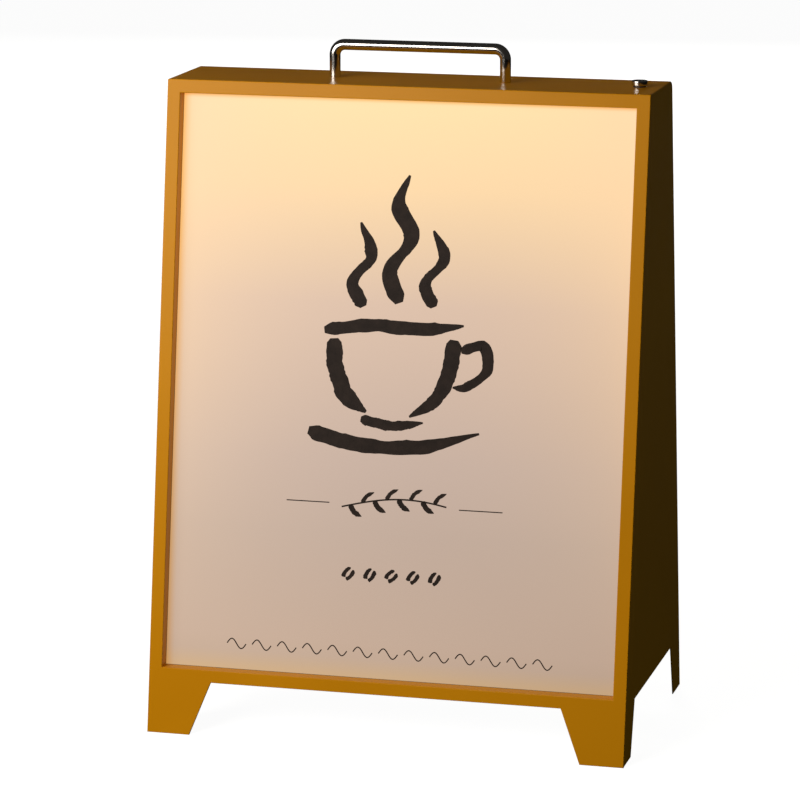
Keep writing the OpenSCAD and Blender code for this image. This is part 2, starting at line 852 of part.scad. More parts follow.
// Puts its children on the back at the charging socket, with z out of the back
module at_socket() {
    on_back() translate([socket_x, socket_s, 0]) children();
}

module charge_socket() {
    color("black") at_socket() difference() {
        union() {
            cylinder(h = socket_rim_t, r = socket_rim_r);
            translate([0, 0, -socket_l]) cylinder(h = socket_l, r = socket_r);
        }
        translate([0, 0, socket_rim_t - socket_bore_l])
            cylinder(h = socket_bore_l + cut, r = socket_bore_r);
    }
}

module charge_pin() {
    pin_l = socket_bore_l - socket_pin_back;
    color("gold") at_socket() translate([0, 0, socket_rim_t - socket_bore_l])
        cylinder(h = pin_l, r = socket_pin_r);
}

module charge_nut() {
    color("silver") at_socket() translate([0, 0, -sheet_t - socket_nut_h])
        hex_nut(socket_nut_af, socket_nut_h, socket_r + thread_play);
}

// The rubber flap over the socket, with its strap up to the hinge line and a short nub
module charge_cap() {
    color("black") at_socket() {
        translate([0, 0, cap_level - cap_t]) {
            cylinder(h = cap_t, r = cap_r);
            translate([-cap_strap_w / 2, 0, 0])
                cube([cap_strap_w, cap_hinge_s - cap_split / 2, cap_t]);
        }
        translate([0, 0, cap_level - cap_t - cap_gap - cap_nub_l])
            cylinder(h = cap_nub_l + cap_gap + cap_t / 2, r = cap_nub_r);
    }
}

module cap_anchor() {
    color("black") at_socket() translate([-anchor_w / 2, cap_hinge_s + cap_split / 2, 0])
        cube([anchor_w, anchor_l, cap_level]);
}

function unit(v) = v / norm(v);

// The points of the bend that rounds corner p of a route between its neighbours
function bend_points(before, p, after) =
    let (reach = min(wire_bend_r, wire_bend_share * min(norm(before - p), norm(after - p))),
        low = p + reach * unit(before - p), high = p + reach * unit(after - p))
    [for (k = [0:wire_bend_steps]) let (t = k / wire_bend_steps)
        (1 - t) * (1 - t) * low + 2 * t * (1 - t) * p + t * t * high];

function smooth_route(route) = [route[0],
    for (i = [1:len(route) - 2]) each bend_points(route[i - 1], route[i], route[i + 1]),
    route[len(route) - 1]];

// A side vector for each ring, each turned as little as possible from the last
function side_vectors(headings, last, i = 0) = i == len(headings) ? [] :
    let (side = unit(last - (last * headings[i]) * headings[i]))
    concat([side], side_vectors(headings, side, i + 1));

// A wire along a route whose corners are rounded, as one swept tube
module wire(route) {
    path = smooth_route(route);
    last = len(path) - 1;
    headings = [for (i = [0:last]) unit(path[min(i + 1, last)] - path[max(i - 1, 0)])];
    sides = side_vectors(headings, cross(headings[0], wire_start_side));
    points = [for (i = [0:last]) for (j = [0:wire_sides - 1]) let (a = 360 * j / wire_sides)
        path[i] + wire_r * (cos(a) * sides[i] + sin(a) * cross(headings[i], sides[i]))];
    skin = [for (i = [0:last - 1]) for (j = [0:wire_sides - 1])
        let (a = i * wire_sides + j, b = i * wire_sides + (j + 1) % wire_sides)
        each [[a, b + wire_sides, b], [a, a + wire_sides, b + wire_sides]]];
    ends = [for (j = [1:wire_sides - 2]) each [[0, j, j + 1],
        [last * wire_sides, last * wire_sides + j + 1, last * wire_sides + j]]];
    polyhedron(points, concat(skin, ends));
}

wall_x = inner_w / 2 - wire_wall_in;
rear_run_y = pack_y + pack_l / 2 + wire_run_gap;
light_plug = on_board(plug_shares[1]);
battery_plug = on_board(plug_shares[0]);
switch_plug = on_board(plug_shares[2]);
charge_plug = on_board(plug_shares[3]);
charge_run_z = wire_floor_z + 3 * wire_r;
wire_start = face_point(socket_s, socket_l + 2 * wire_play);
socket_back = [socket_x, -wire_start[0], wire_start[1]];

module light_wire() {
    bar_mid = (bar_low + bar_high) / 2;
    color("ivory") wire([
        [-bar_l / 2, bar_y, bar_mid], [-wall_x, bar_y, bar_mid],
        [-wall_x, 0, bar_mid - bar_w], [-wall_x, 0, base_top + 3 * base_side_fold_h],
        [-wall_x, rear_run_y, base_top + base_side_fold_h], [-wall_x, rear_run_y, wire_floor_z],
        [light_plug[0], rear_run_y, wire_floor_z],
        [light_plug[0], rear_run_y, board_high + plug_h / 2],
        [light_plug[0], light_plug[1] + plug_w / 2, board_high + plug_h / 2]]);
}

module switch_wire() {
    side_z = board_high + plug_h / 2;
    color("ivory") wire([
        [button_x, 0, switch_low], [button_x, 0, switch_low - 3 * terminal_l],
        [wall_x, 0, switch_low - 5 * terminal_l], [wall_x, 0, base_top + 3 * base_side_fold_h],
        [wall_x - base_side_fold_h, switch_plug[1], side_z],
        [switch_plug[0] + plug_w / 2, switch_plug[1], side_z]]);
}

module battery_wire() {
    case_z = base_top + pack_h / 2;
    exit_y = pack_y + pack_l / 4;
    mid_x = (pack_x + pack_w / 2 + board_x - board_l / 2) / 2 + 2 * strap_t;
    color("firebrick") wire([
        [pack_x + pack_w / 2 - case_wall, exit_y, case_z], [mid_x, exit_y, case_z],
        [mid_x, battery_plug[1], board_high + plug_h / 2],
        [battery_plug[0] - plug_w / 2, battery_plug[1], board_high + plug_h / 2]]);
}

module charge_wire() {
    run_y = rear_run_y + 3 * wire_r;
    color("firebrick") wire([
        socket_back, [socket_x, run_y, socket_back[2]], [socket_x, run_y, charge_run_z],
        [charge_plug[0], run_y, charge_run_z], [charge_plug[0], run_y, board_high + plug_h / 2],
        [charge_plug[0], charge_plug[1] + plug_w / 2, board_high + plug_h / 2]]);
}

// Stick-on clips that hold the two long wires on the side plates
module wire_clips() {
    color("whitesmoke") for (side = [-1, 1], share = wire_clip_shares)
        translate([side * (inner_w - clip_block[0]) / 2, 0, share * body_h]) difference() {
            cube(clip_block, center = true);
            translate([side * (clip_block[0] / 2 - wire_wall_in), 0, 0])
                bolt_hole(wire_r + wire_play, 4 * clip_block[2]);
        }
}

front_frame();
left_side_plate();
right_side_plate();
top_shell();
base_plate();
rear_cover();
cover_screws();
cover_rivet_nuts();
diffuser_panel();
panel_gasket();
panel_clips();
clip_studs();
clip_nuts();
carry_handle();
handle_screws();
handle_washers();
button_cap();
button_plunger();
plunger_clip();
button_spring();
switch_body();
switch_washer();
switch_nut();
switch_terminals();
light_bar_channel();
light_bar_board();
light_bar_chips();
light_bar_lens();
light_bar_end_caps();
light_bar_nuts();
light_bar_screws();
battery_case();
battery_lid();
battery_cells();
battery_strap();
strap_studs();
strap_nuts();
controller_board();
board_parts();
board_spacers();
board_screws();
charge_socket();
charge_pin();
charge_nut();
charge_cap();
cap_anchor();
light_wire();
switch_wire();
battery_wire();
charge_wire();
wire_clips();
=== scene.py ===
"""The looks of a portable A-frame light box sign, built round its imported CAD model.

Metres, with the origin at the middle of the footprint, +X right, -Y out of the lit panel, +Z up.
"""
import json
import math

import bmesh
import bpy
from mathutils import Matrix, Vector, noise

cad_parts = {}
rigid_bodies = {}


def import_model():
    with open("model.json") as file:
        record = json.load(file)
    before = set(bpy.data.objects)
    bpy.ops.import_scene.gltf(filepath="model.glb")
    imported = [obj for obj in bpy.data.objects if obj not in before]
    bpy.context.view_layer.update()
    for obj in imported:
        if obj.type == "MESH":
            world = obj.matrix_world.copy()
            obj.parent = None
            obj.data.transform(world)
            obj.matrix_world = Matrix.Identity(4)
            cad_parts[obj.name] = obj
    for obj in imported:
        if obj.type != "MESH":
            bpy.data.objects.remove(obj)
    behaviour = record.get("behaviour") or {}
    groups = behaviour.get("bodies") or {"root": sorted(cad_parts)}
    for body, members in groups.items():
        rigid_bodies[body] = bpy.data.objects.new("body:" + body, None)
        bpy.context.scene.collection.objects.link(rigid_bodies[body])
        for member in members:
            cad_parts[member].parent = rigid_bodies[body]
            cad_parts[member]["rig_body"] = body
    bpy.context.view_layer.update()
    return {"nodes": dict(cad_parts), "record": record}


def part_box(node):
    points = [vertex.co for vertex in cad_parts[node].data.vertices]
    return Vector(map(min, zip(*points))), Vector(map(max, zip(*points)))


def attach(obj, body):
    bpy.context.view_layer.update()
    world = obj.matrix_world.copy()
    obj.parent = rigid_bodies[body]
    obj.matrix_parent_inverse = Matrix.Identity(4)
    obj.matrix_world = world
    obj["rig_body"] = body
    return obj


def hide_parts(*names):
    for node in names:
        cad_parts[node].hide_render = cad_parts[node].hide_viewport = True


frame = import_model()
nodes = frame["nodes"]
MM = 0.001

# Sizes read from the frame, and the few that its boxes don't give
BODY_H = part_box("top_shell")[1][2]
BODY_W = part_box("front_frame")[1][0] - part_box("front_frame")[0][0]
BASE_D = -2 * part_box("front_frame")[0][1]
TOP_D = 98 * MM
SHEET_T = 1.2 * MM
LEAN = math.atan((BASE_D - TOP_D) / 2 / BODY_H)
PANEL_DEPTH = 12.02 * MM
PANEL_LOW, PANEL_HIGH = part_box("diffuser_panel")
BORDER = 7 * MM
OPEN_W = PANEL_HIGH[0] - PANEL_LOW[0] - 2 * BORDER
OPEN_LOW_Z = PANEL_LOW[2] + BORDER
OPEN_HIGH_Z = PANEL_HIGH[2] - BORDER


def face_y(z, behind=0.0):
    """The y, at height z, of the plane that lies this far behind the front face."""
    return -BASE_D / 2 + z * math.tan(LEAN) + behind / math.cos(LEAN)


class Value:
    """A number or colour socket that is combined with Python's own operators."""

    def __init__(self, tree, socket):
        self.tree = tree
        self.socket = socket

    def maths(self, operation, other=None, flip=False):
        node = self.tree.nodes.new("ShaderNodeMath")
        node.operation = operation
        for place, item in enumerate([other, self] if flip else [self, other]):
            if item is not None:
                feed(self.tree, node.inputs[place], item)
        return Value(self.tree, node.outputs[0])

    def __add__(self, other):
        return self.maths("ADD", other)

    def __radd__(self, other):
        return self.maths("ADD", other, flip=True)

    def __sub__(self, other):
        return self.maths("SUBTRACT", other)

    def __rsub__(self, other):
        return self.maths("SUBTRACT", other, flip=True)

    def __mul__(self, other):
        return self.maths("MULTIPLY", other)

    def __rmul__(self, other):
        return self.maths("MULTIPLY", other, flip=True)

    def __truediv__(self, other):
        return self.maths("DIVIDE", other)

    def __pow__(self, other):
        return self.maths("POWER", other)

    def clamped(self):
        return self.maths("MINIMUM", 1.0).maths("MAXIMUM", 0.0)

    def size(self):
        return self.maths("ABSOLUTE")


def feed(tree, socket, item):
    """Links a value to a socket, or sets the socket to a plain number or colour."""
    if isinstance(item, Value):
        tree.links.new(item.socket, socket)
    elif isinstance(item, tuple) and len(socket.default_value) == 4 and len(item) == 3:
        socket.default_value = item + (1.0,)
    else:
        socket.default_value = item


class Paint:
    """One material: its nodes are added by make(), and surface() ends it."""

    def __init__(self, name):
        self.material = bpy.data.materials.new(name)
        self.material.use_nodes = True
        self.tree = self.material.node_tree
        self.tree.nodes.clear()
        self.place = self.make("ShaderNodeTexCoord", output="Object")

    def make(self, kind, settings=None, output=0, **values):
        node = self.tree.nodes.new(kind)
        for key, setting in (settings or {}).items():
            setattr(node, key, setting)
        for key, item in values.items():
            feed(self.tree, node.inputs[key.replace("_", " ")], item)
        return Value(self.tree, node.outputs[output])

    def axes(self):
        split = self.make("ShaderNodeSeparateXYZ", Vector=self.place).socket.node
        return [Value(self.tree, socket) for socket in split.outputs]

    def scaled(self, scale):
        return self.make("ShaderNodeMapping", Vector=self.place, Scale=scale)

    def noise(self, scale, detail=2.0, roughness=0.5, vector=None):
        return self.make("ShaderNodeTexNoise", Vector=vector or self.place, Scale=scale,
                         Detail=detail, Roughness=roughness)

    def ramp(self, factor, stops, smooth=True):
        node = self.tree.nodes.new("ShaderNodeValToRGB")
        node.color_ramp.interpolation = "EASE" if smooth else "LINEAR"
        elements = node.color_ramp.elements
        while len(elements) < len(stops):
            elements.new(0.5)
        for element, (position, colour) in zip(elements, stops):
            element.position = position
            tone = colour if isinstance(colour, tuple) else (colour,) * 3
            element.color = tone + (1.0,)
        feed(self.tree, node.inputs[0], factor)
        return Value(self.tree, node.outputs[0])

    def mix(self, factor, first, second, blend="MIX"):
        node = self.tree.nodes.new("ShaderNodeMix")
        node.data_type = "RGBA"
        node.blend_type = blend
        feed(self.tree, node.inputs[0], factor)
        feed(self.tree, node.inputs[6], first)
        feed(self.tree, node.inputs[7], second)
        return Value(self.tree, node.outputs[2])

    def bump(self, height, strength, distance):
        return self.make("ShaderNodeBump", Height=height, Strength=strength, Distance=distance)

    def surface(self, **values):
        shader = self.tree.nodes.new("ShaderNodeBsdfPrincipled")
        for key, item in values.items():
            feed(self.tree, shader.inputs[key.replace("_", " ")], item)
        out = self.tree.nodes.new("ShaderNodeOutputMaterial")
        self.tree.links.new(shader.outputs[0], out.inputs[0])
        return self.material


# Finishes

def powder_coat():
    """Satin ochre powder coat with a faint orange peel and slight unevenness."""
    paint = Paint("ochre_powder_coat")
    peel = paint.noise(620.0, 2.0, 0.55)
    cloud = paint.noise(7.0, 3.0, 0.5)
    speck = paint.noise(2400.0, 1.0, 0.5)
    colour = paint.ramp(cloud, [(0.3, (0.655, 0.262, 0.0010)), (0.7, (0.700, 0.285, 0.0018))])
    colour = paint.mix(speck * 0.08, colour, (0.45, 0.17, 0.002))
    rough = 0.26 + cloud * 0.06 + speck * 0.05
    normal = paint.bump(peel * 0.7 + speck * 0.3, 0.06, 0.0004)
    return paint.surface(Base_Color=colour, Roughness=rough, Normal=normal,
                         Specular_IOR_Level=0.10)


def opal_acrylic():
    """Opal panel, painted glow: brightest and yellowest below the light bar, fading down the
    panel.
    """
    paint = Paint("lit_opal_acrylic")
    x, _, z = paint.axes()
    up = ((z - OPEN_LOW_Z) / (OPEN_HIGH_Z - OPEN_LOW_Z)).clamped()
    body = paint.ramp(up, [(0.0, (0.500, 0.352, 0.248)), (0.06, (0.528, 0.374, 0.280)),
                           (0.25, (0.505, 0.374, 0.298)), (0.38, (0.535, 0.396, 0.322)),
                           (0.65, (0.655, 0.466, 0.348)), (0.85, (0.900, 0.625, 0.335)),
                           (1.0, (0.935, 0.690, 0.345))], smooth=False)
    # Painted light turns the upper corners to peach, and painted shade dims the lower right a
    # little
    across = (x / (OPEN_W / 2)).size().clamped()
    peach = ((across ** 2.4) * (up ** 1.2) * 0.85).clamped()
    body = paint.mix(peach, body, (0.950, 0.640, 0.360))
    lower_right_shade = (x / OPEN_W + 0.5).clamped() * (1.0 - up)
    body = paint.mix(lower_right_shade, body, (0.83, 0.83, 0.84), "MULTIPLY")
    # Painted reflection, warm rims where the coated returns throw their colour back: the way in
    # from the edge, how far the warmth reaches, its fall-off, its strength, its colour and how it
    # is laid on
    for inwards, reach, fall, strength, warmth, blend in (
            (x + OPEN_W / 2, 7.5 * MM, 1.4, 0.95, (1.06, 0.78, 0.36), "MULTIPLY"),
            (OPEN_HIGH_Z - z, 3.0 * MM, 1.2, 0.9, (1.0, 0.66, 0.26), "MULTIPLY"),
            (z - OPEN_LOW_Z, 17.0 * MM, 1.2, 0.9, (1.16, 1.06, 0.74), "MULTIPLY"),
            (OPEN_W / 2 - x, 1.6 * MM, 1.0, 0.7, (1.0, 0.72, 0.34), "MIX")):
        near = (1.0 - inwards / reach).clamped() ** fall
        body = paint.mix(near * strength, body, warmth, blend)
    cloud = paint.noise(5.0, 2.0, 0.5)
    glow = paint.mix(0.03, body, paint.ramp(cloud, [(0.3, 0.86), (0.7, 1.0)]), "MULTIPLY")
    grain = paint.noise(2800.0, 1.0, 0.5)
    tint = paint.ramp(cloud, [(0.3, (0.105, 0.095, 0.085)), (0.7, (0.115, 0.105, 0.095))])
    return paint.surface(Base_Color=tint, Roughness=0.40 + cloud * 0.06,
                         Normal=paint.bump(grain, 0.03, 0.0002), Emission_Color=glow,
                         Emission_Strength=1.0, Specular_IOR_Level=0.2)


def ink():
    """Matt dark brown print with slightly uneven coverage."""
    paint = Paint("printed_ink")
    patch = paint.noise(120.0, 3.0, 0.6)
    fleck = paint.noise(1400.0, 2.0, 0.5)
    colour = paint.ramp(patch, [(0.25, (0.020, 0.013, 0.010)), (0.8, (0.034, 0.022, 0.017))])
    return paint.surface(Base_Color=colour, Roughness=0.50 + fleck * 0.12,
                         Normal=paint.bump(fleck, 0.05, 0.0002), Specular_IOR_Level=0.12)


def polished_steel():
    """Polished stainless rod with fine lengthwise polishing lines and faint smears."""
    paint = Paint("polished_stainless")
    lines = paint.noise(60.0, 4.0, 0.6, paint.scaled((0.6, 40.0, 40.0)))
    smear = paint.noise(45.0, 3.0, 0.5)
    colour = paint.ramp(smear, [(0.3, (0.64, 0.61, 0.57)), (0.7, (0.72, 0.69, 0.65))])
    return paint.surface(Base_Color=colour, Metallic=1.0, Roughness=0.12 + smear * 0.06,
                         Normal=paint.bump(lines, 0.004, 0.0002))


def zinc_plate():
    """Bright zinc with the fine crystals and the faint yellow cast of its passivation."""
    paint = Paint("bright_zinc_plate")
    grain = paint.noise(700.0, 3.0, 0.6)
    tint = paint.noise(90.0, 2.0, 0.5)
    colour = paint.ramp(tint, [(0.3, (0.50, 0.51, 0.53)), (0.7, (0.64, 0.63, 0.58))])
    return paint.surface(Base_Color=colour, Metallic=1.0, Roughness=0.26 + grain * 0.16,
                         Normal=paint.bump(grain, 0.08, 0.0003))


def spring_steel():
    """Grey drawn steel with a fine grain."""
    paint = Paint("drawn_spring_steel")
    grain = paint.noise(1200.0, 2.0, 0.5)
    colour = paint.ramp(grain, [(0.3, (0.30, 0.30, 0.31)), (0.7, (0.42, 0.42, 0.43))])
    return paint.surface(Base_Color=colour, Metallic=1.0, Roughness=0.28 + grain * 0.1,
                         Normal=paint.bump(grain, 0.06, 0.0002))


def brass():
    """Plain brass, a little dull in places."""
    paint = Paint("plain_brass")
    grain = paint.noise(500.0, 3.0, 0.6)
    colour = paint.ramp(grain, [(0.3, (0.56, 0.36, 0.11)), (0.7, (0.74, 0.52, 0.20))])
    return paint.surface(Base_Color=colour, Metallic=1.0, Roughness=0.24 + grain * 0.14,
                         Normal=paint.bump(grain, 0.06, 0.0002))


def aluminium():
    """Clear anodised aluminium with the lines of its extrusion along it."""
    paint = Paint("anodised_aluminium")
    lines = paint.noise(80.0, 3.0, 0.6, paint.scaled((0.5, 30.0, 30.0)))
    colour = paint.ramp(lines, [(0.3, (0.60, 0.61, 0.62)), (0.7, (0.72, 0.73, 0.74))])
    return paint.surface(Base_Color=colour, Metallic=1.0, Roughness=0.32 + lines * 0.1,
                         Normal=paint.bump(lines, 0.06, 0.0003))


def moulded(name, dark, light, rough, grain_scale=900.0, strength=0.12):
    """A moulded plastic or rubber with a fine spark-eroded grain."""
    paint = Paint(name)
    grain = paint.noise(grain_scale, 2.0, 0.6)
    cloud = paint.noise(30.0, 2.0, 0.5)
    colour = paint.ramp(cloud, [(0.3, dark), (0.7, light)])
    return paint.surface(Base_Color=colour, Roughness=rough + grain * 0.12,
                         Normal=paint.bump(grain, strength, 0.0003))


def lit_plastic(name, colour, strength):
    """A plastic that glows in its own colour, for the light bar's parts."""
    paint = Paint(name)
    grain = paint.noise(800.0, 2.0, 0.5)
    glow = paint.ramp(grain, [(0.3, tuple(0.94 * part for part in colour)), (0.7, colour)])
    return paint.surface(Base_Color=glow, Roughness=0.4 + grain * 0.1, Emission_Color=glow,
                         Emission_Strength=strength, Normal=paint.bump(grain, 0.04, 0.0002))


def circuit_board():
    """Green solder mask with faint copper tracks under it."""
    paint = Paint("solder_mask")
    tracks = paint.make("ShaderNodeTexBrick", {"offset": 0.37, "squash": 0.6}, output="Fac",
                        Vector=paint.place, Scale=150.0, Mortar_Size=0.06)
    colour = paint.mix(tracks, (0.008, 0.085, 0.035), (0.022, 0.160, 0.065))
    grain = paint.noise(1000.0, 2.0, 0.5)
    return paint.surface(Base_Color=colour, Roughness=0.30 + grain * 0.1,
                         Normal=paint.bump(tracks, 0.10, 0.0002))


finishes = {
    "housing_paint": powder_coat(),
    "opal_panel": opal_acrylic(),
    "gasket_foam": moulded("closed_cell_foam", (0.02, 0.02, 0.02), (0.035, 0.034, 0.033), 0.85,
                           1400.0, 0.5),
    "polished_steel": polished_steel(),
    "zinc_steel": zinc_plate(),
    "spring_steel": spring_steel(),
    "switch_black": moulded("black_nylon", (0.018, 0.018, 0.019), (0.028, 0.028, 0.029), 0.45),
    "contact_brass": brass(),
    "bar_aluminium": aluminium(),
    "board_white": moulded("white_solder_mask", (0.74, 0.74, 0.72), (0.82, 0.82, 0.80), 0.35),
    "light_chip": lit_plastic("lit_phosphor", (1.0, 0.80, 0.42), 4.0),
    "frosted_lens": lit_plastic("frosted_polycarbonate", (1.0, 0.88, 0.62), 2.0),
    "end_cap_grey": moulded("grey_plastic", (0.42, 0.42, 0.41), (0.48, 0.48, 0.46), 0.42),
    "case_black": moulded("black_moulding", (0.020, 0.020, 0.022), (0.032, 0.032, 0.034), 0.50),
    "cell_sleeve": moulded("shrink_sleeve", (0.012, 0.150, 0.070), (0.016, 0.190, 0.090), 0.22),
    "board_green": circuit_board(),
    "board_part": moulded("black_epoxy", (0.012, 0.012, 0.013), (0.024, 0.024, 0.025), 0.38),
    "cap_rubber": moulded("black_rubber", (0.014, 0.014, 0.014), (0.024, 0.023, 0.023), 0.62),
    "wire_white": moulded("ivory_insulation", (0.62, 0.59, 0.50), (0.70, 0.67, 0.58), 0.40),
    "wire_red": moulded("red_insulation", (0.30, 0.012, 0.008), (0.40, 0.020, 0.012), 0.38),
    "clip_white": moulded("white_nylon", (0.70, 0.70, 0.68), (0.78, 0.78, 0.75), 0.48),
}
slot_of = {part["node"]: part["material_slot"] for part in frame["record"]["subparts"]}
for name, node in nodes.items():
    node.data.materials.clear()
    node.data.materials.append(finishes[slot_of[name]])


# Making pieces

def piece_from(mesh, name, body, slot, stands_for=None, finish=None):
    """Turns a bmesh into a piece that rides on a body and may stand for CAD nodes."""
    data = bpy.data.meshes.new(name)
    mesh.to_mesh(data)
    mesh.free()
    piece = bpy.data.objects.new(name, data)
    bpy.context.scene.collection.objects.link(piece)
    data.materials.append(finish or finishes[slot])
    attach(piece, body)
    if stands_for:
        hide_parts(stands_for)


# An edge that folds by more than SHARP stays hard, a face over BROAD square metres stays flat,
# points within MERGE are one, and HAIR is the slack with which an edge is told by its place
SHARP = math.radians(35)
BROAD = 0.001
MERGE = 0.002 * MM
HAIR = 0.05 * MM


def placed(mesh, matrix):
    """Moves a whole bmesh to its place."""
    bmesh.ops.transform(mesh, matrix=matrix, verts=mesh.verts)


def round_off(mesh, edges, radius, segments):
    """Rounds the given edges of a bmesh."""
    bmesh.ops.bevel(mesh, geom=edges, offset=radius, offset_type="OFFSET", segments=segments,
                    profile=0.5, affect="EDGES", clamp_overlap=True, material=-1)


def shade(mesh):
    """Shades rounds smooth, broad flats flat and hard edges sharp."""
    for face in mesh.faces:
        face.smooth = face.calc_area() < BROAD
    for edge in mesh.edges:
        edge.smooth = len(edge.link_faces) == 2 and edge.calc_face_angle() < SHARP


# The coated housing

def depth_of(point):
    """How far a point lies behind the front face."""
    return (point.y - face_y(point.z)) * math.cos(LEAN)


def front_rim(edge):
    """The frame's front edges, and its two short top corners that run back to the side plates."""
    ends = [vert.co for vert in edge.verts]
    corner = all(abs(end.x) > BODY_W / 2 - HAIR and end.z > BODY_H - HAIR for end in ends)
    return corner or all(depth_of(end) < HAIR for end in ends)


def side_rim(edge):
    """A side plate's outer edges, save its welded seam with the front frame."""
    ends = [vert.co for vert in edge.verts]
    seam = all(depth_of(end) < SHEET_T + HAIR for end in ends)
    return not seam and all(abs(end.x) > BODY_W / 2 - HAIR for end in ends)


def lip_rim(edge):
    """The lower edge of the top sheet's lip."""
    return all(vert.co.z < OPEN_HIGH_Z - BORDER for vert in edge.verts)


def any_edge(_):
    """Every hard edge."""
    return True


def coated(node_name, radius, segments, picks):
    """A copy of a folded CAD node with the picked hard edges rounded, as coating leaves them."""
    mesh = bmesh.new()
    mesh.from_mesh(nodes[node_name].data)
    bmesh.ops.remove_doubles(mesh, verts=mesh.verts, dist=MERGE)
    bmesh.ops.dissolve_limit(mesh, angle_limit=math.radians(1.0), verts=mesh.verts,
                             edges=mesh.edges)
    hard = [edge for edge in mesh.edges
            if len(edge.link_faces) == 2 and edge.calc_face_angle() > SHARP and picks(edge)]
    round_off(mesh, hard, radius, segments)
    shade(mesh)
    piece_from(mesh, node_name + "_coated", nodes[node_name]["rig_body"], slot_of[node_name],
               node_name)


WELDED_R = 1.0 * MM
CUT_R = 0.3 * MM

coated("front_frame", WELDED_R, 4, front_rim)
coated("left_side_plate", WELDED_R, 4, side_rim)
coated("right_side_plate", WELDED_R, 4, side_rim)
coated("top_shell", CUT_R, 2, lip_rim)
coated("rear_cover", CUT_R, 3, any_edge)
coated("base_plate", CUT_R, 2, any_edge)


# The foam strip stuck behind the top sheet's lip, which keeps light from the cover's upper gap

SEAL_HALF_W = 192 * MM
SEAL_UP = 6 * MM
SEAL_DOWN = 4 * MM
SEAL_T = 2 * MM
BACK_FRAME = Matrix.Translation((0, BASE_D / 2, 0)) @ Matrix.Rotation(LEAN, 4, "X")


def cover_seal():
    """A flat strip across the gap, from below the cover's upper edge to above the lip's."""
    gap_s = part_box("rear_cover")[1][2] / math.cos(LEAN)
    mesh = bmesh.new()
    bmesh.ops.create_cube(mesh, size=1.0)
    bmesh.ops.scale(mesh, vec=(2 * SEAL_HALF_W, SEAL_T, SEAL_UP + SEAL_DOWN), verts=mesh.verts)
    bmesh.ops.translate(mesh, vec=(0, -SHEET_T - SEAL_T / 2, gap_s + (SEAL_UP - SEAL_DOWN) / 2),
                        verts=mesh.verts)
    placed(mesh, BACK_FRAME)
    piece_from(mesh, "cover_foam_strip", "housing", "gasket_foam")


cover_seal()


# The carry handle: one rod swept along its bends

HANDLE_LOW, HANDLE_HIGH = (Vector(corner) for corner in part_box("carry_handle"))
ROD_R = (HANDLE_HIGH.y - HANDLE_LOW.y) / 2
HANDLE_BEND = 9 * MM
ROD_SIDES = 40
BEND_STEPS = 14
ROD_END_R = 0.35 * MM


def carry_handle():
    """The rod: up a post, round a bend, along the bar, round a bend and down a post."""
    mesh = bmesh.new()
    start = Vector((HANDLE_LOW.x + ROD_R, 0, HANDLE_LOW.z))
    end_x = HANDLE_HIGH.x - ROD_R
    bar_z = HANDLE_HIGH.z - ROD_R
    bend_z = bar_z - HANDLE_BEND
    bmesh.ops.create_circle(mesh, cap_ends=True, segments=ROD_SIDES, radius=ROD_R,
                            matrix=Matrix.Translation(start))
    faces = list(mesh.faces)

    def push(offset):
        nonlocal faces
        made = bmesh.ops.extrude_face_region(mesh, geom=faces)["geom"]
        bmesh.ops.delete(mesh, geom=faces, context="FACES_ONLY")
        verts = [item for item in made if isinstance(item, bmesh.types.BMVert)]
        faces = [item for item in made if isinstance(item, bmesh.types.BMFace)]
        bmesh.ops.translate(mesh, vec=offset, verts=verts)
        return verts

    def bend(centre_x):
        for _ in range(BEND_STEPS):
            verts = push(Vector())
            bmesh.ops.rotate(mesh, cent=Vector((centre_x, 0, bend_z)), verts=verts,
                             matrix=Matrix.Rotation(math.pi / 2 / BEND_STEPS, 3, "Y"))

    push(Vector((0, 0, bend_z - start.z)))
    bend(start.x + HANDLE_BEND)
    push(Vector((end_x - start.x - 2 * HANDLE_BEND, 0, 0)))
    bend(end_x - HANDLE_BEND)
    push(Vector((0, 0, start.z - bend_z)))
    bmesh.ops.recalc_face_normals(mesh, faces=mesh.faces)
    ends = [edge for edge in mesh.edges if edge.calc_face_angle(0) > SHARP]
    round_off(mesh, ends, ROD_END_R, 2)
    shade(mesh)
    piece_from(mesh, "bent_rod_handle", "housing", "polished_steel", "carry_handle")


carry_handle()


# The push button's cap

BUTTON_SKIRT_T = 0.8 * MM
BUTTON_ROOF_T = 1.2 * MM
BUTTON_EDGE_R = 0.7 * MM
LATHE_STEPS = 64


def lathe(outline, centre):
    """Spins an outline of (radius, height) points round the vertical through centre."""
    mesh = bmesh.new()
    verts = [mesh.verts.new((radius, 0, height)) for radius, height in outline]
    edges = [mesh.edges.new(pair) for pair in zip(verts, verts[1:])]
    bmesh.ops.spin(mesh, geom=verts + edges, cent=(0, 0, 0), axis=(0, 0, 1), dvec=(0, 0, 0),
                   angle=2 * math.pi, steps=LATHE_STEPS, use_merge=True)
    bmesh.ops.remove_doubles(mesh, verts=mesh.verts, dist=1e-7)
    bmesh.ops.recalc_face_normals(mesh, faces=mesh.faces)
    shade(mesh)
    placed(mesh, Matrix.Translation(centre))
    return mesh


def rounded(points, radius, steps=5):
    """Rounds the inner corners of an outline of (radius, height) points."""
    done = [points[0]]
    for before, corner, after in zip(points, points[1:], points[2:]):
        here, low, high = Vector(corner), Vector(before), Vector(after)
        reach = min(radius, (low - here).length / 2.1, (high - here).length / 2.1)
        first = here + (low - here).normalized() * reach
        last = here + (high - here).normalized() * reach
        for step in range(steps + 1):
            share = step / steps
            point = first * (1 - share) ** 2 + here * 2 * share * (1 - share) + last * share ** 2
            done.append(tuple(point))
    return done + [points[-1]]


